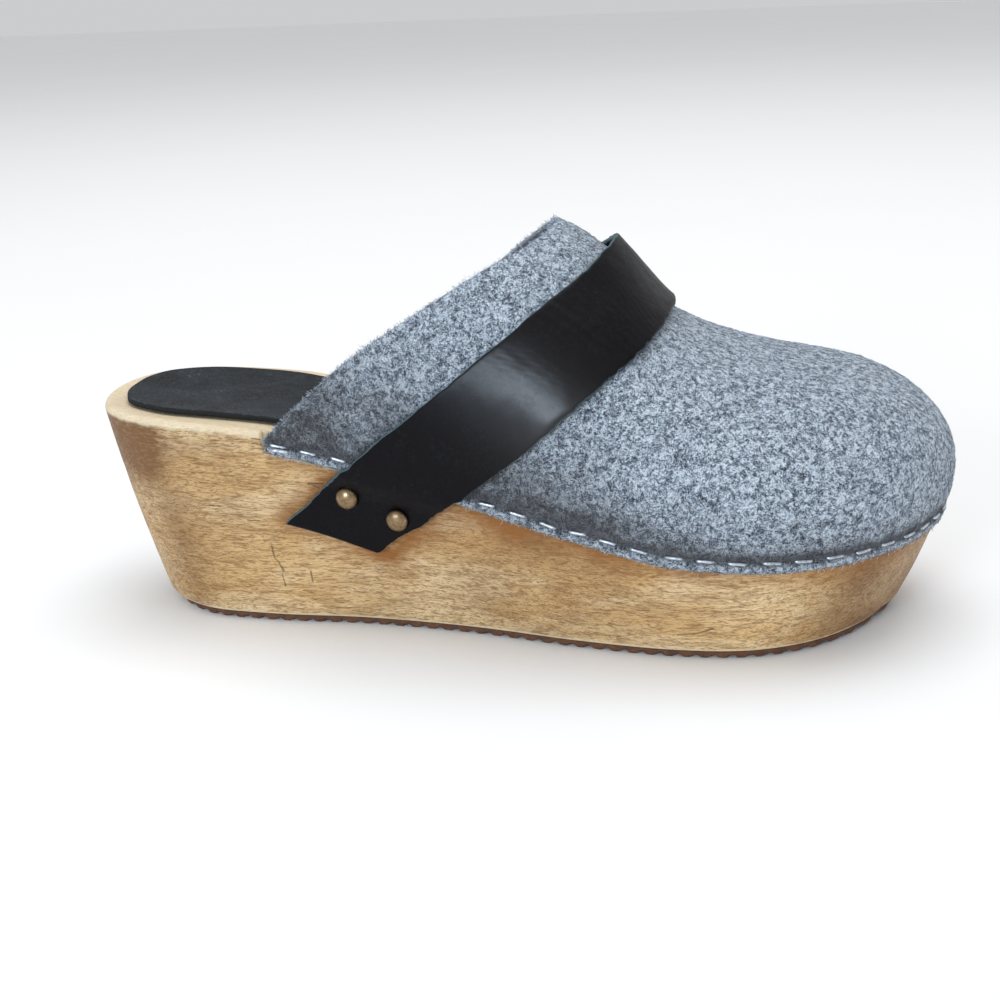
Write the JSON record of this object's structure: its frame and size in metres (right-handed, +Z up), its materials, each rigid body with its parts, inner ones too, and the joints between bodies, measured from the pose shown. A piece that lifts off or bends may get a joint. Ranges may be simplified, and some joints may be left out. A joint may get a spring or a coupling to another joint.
{
  "type": "platform clog",
  "caption": "Right platform clog: carved wooden wedge on a ribbed rubber outsole, open-backed wool-felt upper, leather strap nailed over the instep, leather insole.",
  "frame": {"origin": "middle of the shoe's box, on the floor", "axes": "+X towards the toe, +Y towards the inner side of the foot, +Z up"},
  "size_m": [0.2518, 0.0992, 0.1144],
  "materials": {
    "wood": "oiled, fine dark flecks, worn pale edge",
    "outsole_rubber": "matt, ribbed",
    "felt": "heather blue-grey wool felt",
    "insole_leather": "smooth satin",
    "strap_leather": "black, satin, fine grain",
    "antique_brass": "antiqued, domed"
  },
  "bodies": {
    "root": {"wood_sole": "wood", "outsole": "outsole_rubber", "felt_upper": "felt", "insole": "insole_leather", "strap": "strap_leather", "strap_nail_lateral_rear": "antique_brass", "strap_nail_lateral_front": "antique_brass", "strap_nail_medial_rear": "antique_brass", "strap_nail_medial_front": "antique_brass"}
  },
  "joints": []
}
